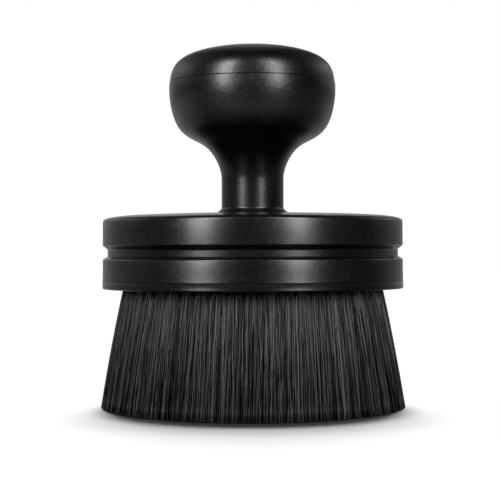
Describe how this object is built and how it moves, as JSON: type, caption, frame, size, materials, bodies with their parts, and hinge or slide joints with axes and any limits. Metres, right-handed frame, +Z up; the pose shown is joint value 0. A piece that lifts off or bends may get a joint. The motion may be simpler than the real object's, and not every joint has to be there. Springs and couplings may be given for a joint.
{
  "type": "neck duster brush",
  "caption": "Round palm-held barber brush: a mushroom knob on a short neck above a grooved disc head with a dense, flared, flat-trimmed field of black bristles.",
  "frame": {"origin": "middle of the flat trimmed bristle face that the brush stands on", "axes": "+Z up along the axis of the brush, from the bristles to the knob"},
  "size_m": [0.0866, 0.0866, 0.1025],
  "materials": {
    "handle_plastic": "satin black, fine moulded grain",
    "head_plastic": "satin black, turned sheen round the bands",
    "block_plastic": "satin black",
    "bristle": "black nylon filament, semi-matt",
    "brass": "knurled brass",
    "zinc_steel": "bright zinc plated",
    "anchor_wire": "drawn flat wire"
  },
  "bodies": {
    "root": {"knob_cap": "handle_plastic", "handle_shell": "handle_plastic", "threaded_insert": "brass", "handle_bolt": "zinc_steel", "spring_washer": "zinc_steel", "flat_washer": "zinc_steel", "top_cover": "head_plastic", "base_ring": "head_plastic", "tuft_block": "block_plastic", "block_screws": "zinc_steel", "bristles_centre": "bristle", "bristles_ring_1": "bristle", "bristles_ring_2": "bristle", "bristles_ring_3": "bristle", "bristles_ring_4": "bristle", "bristles_ring_5": "bristle", "bristles_ring_6": "bristle", "bristles_ring_7": "bristle", "bristles_ring_8": "bristle", "tuft_anchors": "anchor_wire"}
  },
  "joints": []
}
